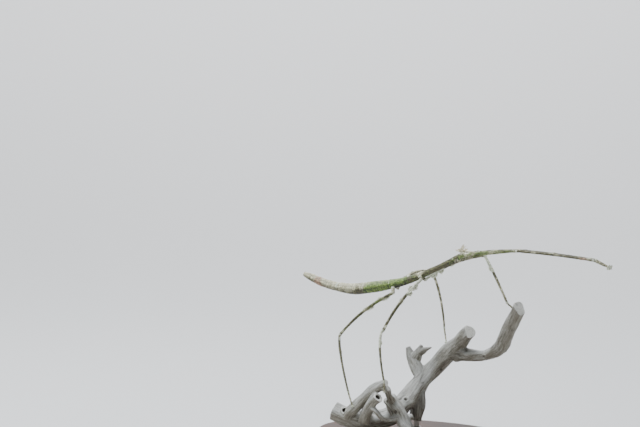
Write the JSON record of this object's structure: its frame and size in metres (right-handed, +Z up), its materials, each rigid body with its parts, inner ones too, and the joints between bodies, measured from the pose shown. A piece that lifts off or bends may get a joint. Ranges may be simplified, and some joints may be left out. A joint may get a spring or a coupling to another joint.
{
  "type": "stick insect model",
  "caption": "Horned, lichen-coloured stick insect standing on a cut length of forked driftwood, forelegs stretched ahead, held over an oval display base by short rods.",
  "frame": {"origin": "middle of the display base's underside", "axes": "+X along the insect's body, towards its head; +Y to the insect's left; +Z up"},
  "size_m": [0.1798, 0.0803, 0.1118],
  "materials": {
    "cuticle_green": "matt, granular cuticle mottled in olive and moss green",
    "cuticle_cream": "matt, granular cuticle mottled in lichen cream",
    "cuticle_brown": "matt, granular cuticle mottled in bark brown with pale joints",
    "horn": "pale, slightly waxy horn",
    "eye": "glossy, finely faceted",
    "driftwood": "bare, weathered, smooth grey-beige driftwood with pale cut ends",
    "stained_beech": "dark stained, satin lacquer",
    "steel_rod": "brushed along the rod"
  },
  "bodies": {
    "root": {"prothorax": "cuticle_green", "mesothorax": "cuticle_green", "metathorax": "cuticle_green", "abdomen_2": "cuticle_green", "abdomen_3": "cuticle_green", "head": "cuticle_green", "hind_left_coxa": "cuticle_green", "hind_right_coxa": "cuticle_green", "mid_left_coxa": "cuticle_green", "mid_right_coxa": "cuticle_green", "fore_left_coxa": "cuticle_green", "fore_right_coxa": "cuticle_green", "abdomen_4": "cuticle_cream", "abdomen_5": "cuticle_cream", "abdomen_6": "cuticle_cream", "hind_left_tarsus": "cuticle_cream", "hind_right_tarsus": "cuticle_cream", "mid_left_tarsus": "cuticle_cream", "mid_right_tarsus": "cuticle_cream", "fore_left_tarsus": "cuticle_cream", "fore_right_tarsus": "cuticle_cream", "abdomen_7": "cuticle_brown", "abdomen_8": "cuticle_brown", "abdomen_tip": "cuticle_brown", "mouthparts": "cuticle_brown", "antenna_left": "cuticle_brown", "antenna_right": "cuticle_brown", "hind_left_femur": "cuticle_brown", "hind_left_tibia": "cuticle_brown", "hind_right_femur": "cuticle_brown", "hind_right_tibia": "cuticle_brown", "mid_left_femur": "cuticle_brown", "mid_left_tibia": "cuticle_brown", "mid_right_femur": "cuticle_brown", "mid_right_tibia": "cuticle_brown", "fore_left_femur": "cuticle_brown", "fore_left_tibia": "cuticle_brown", "fore_right_femur": "cuticle_brown", "fore_right_tibia": "cuticle_brown", "horn_left": "horn", "horn_right": "horn", "eye_left": "eye", "eye_right": "eye", "perch_trunk": "driftwood", "perch_stem": "driftwood", "perch_fork_arm": "driftwood", "perch_fork_tip": "driftwood", "perch_twig": "driftwood", "perch_rear_root": "driftwood", "perch_front_root": "driftwood", "perch_side_stub": "driftwood", "perch_hollow_stub": "driftwood", "stand_base": "stained_beech", "stand_rod_fore": "steel_rod", "stand_rod_rear": "steel_rod"}
  },
  "joints": []
}
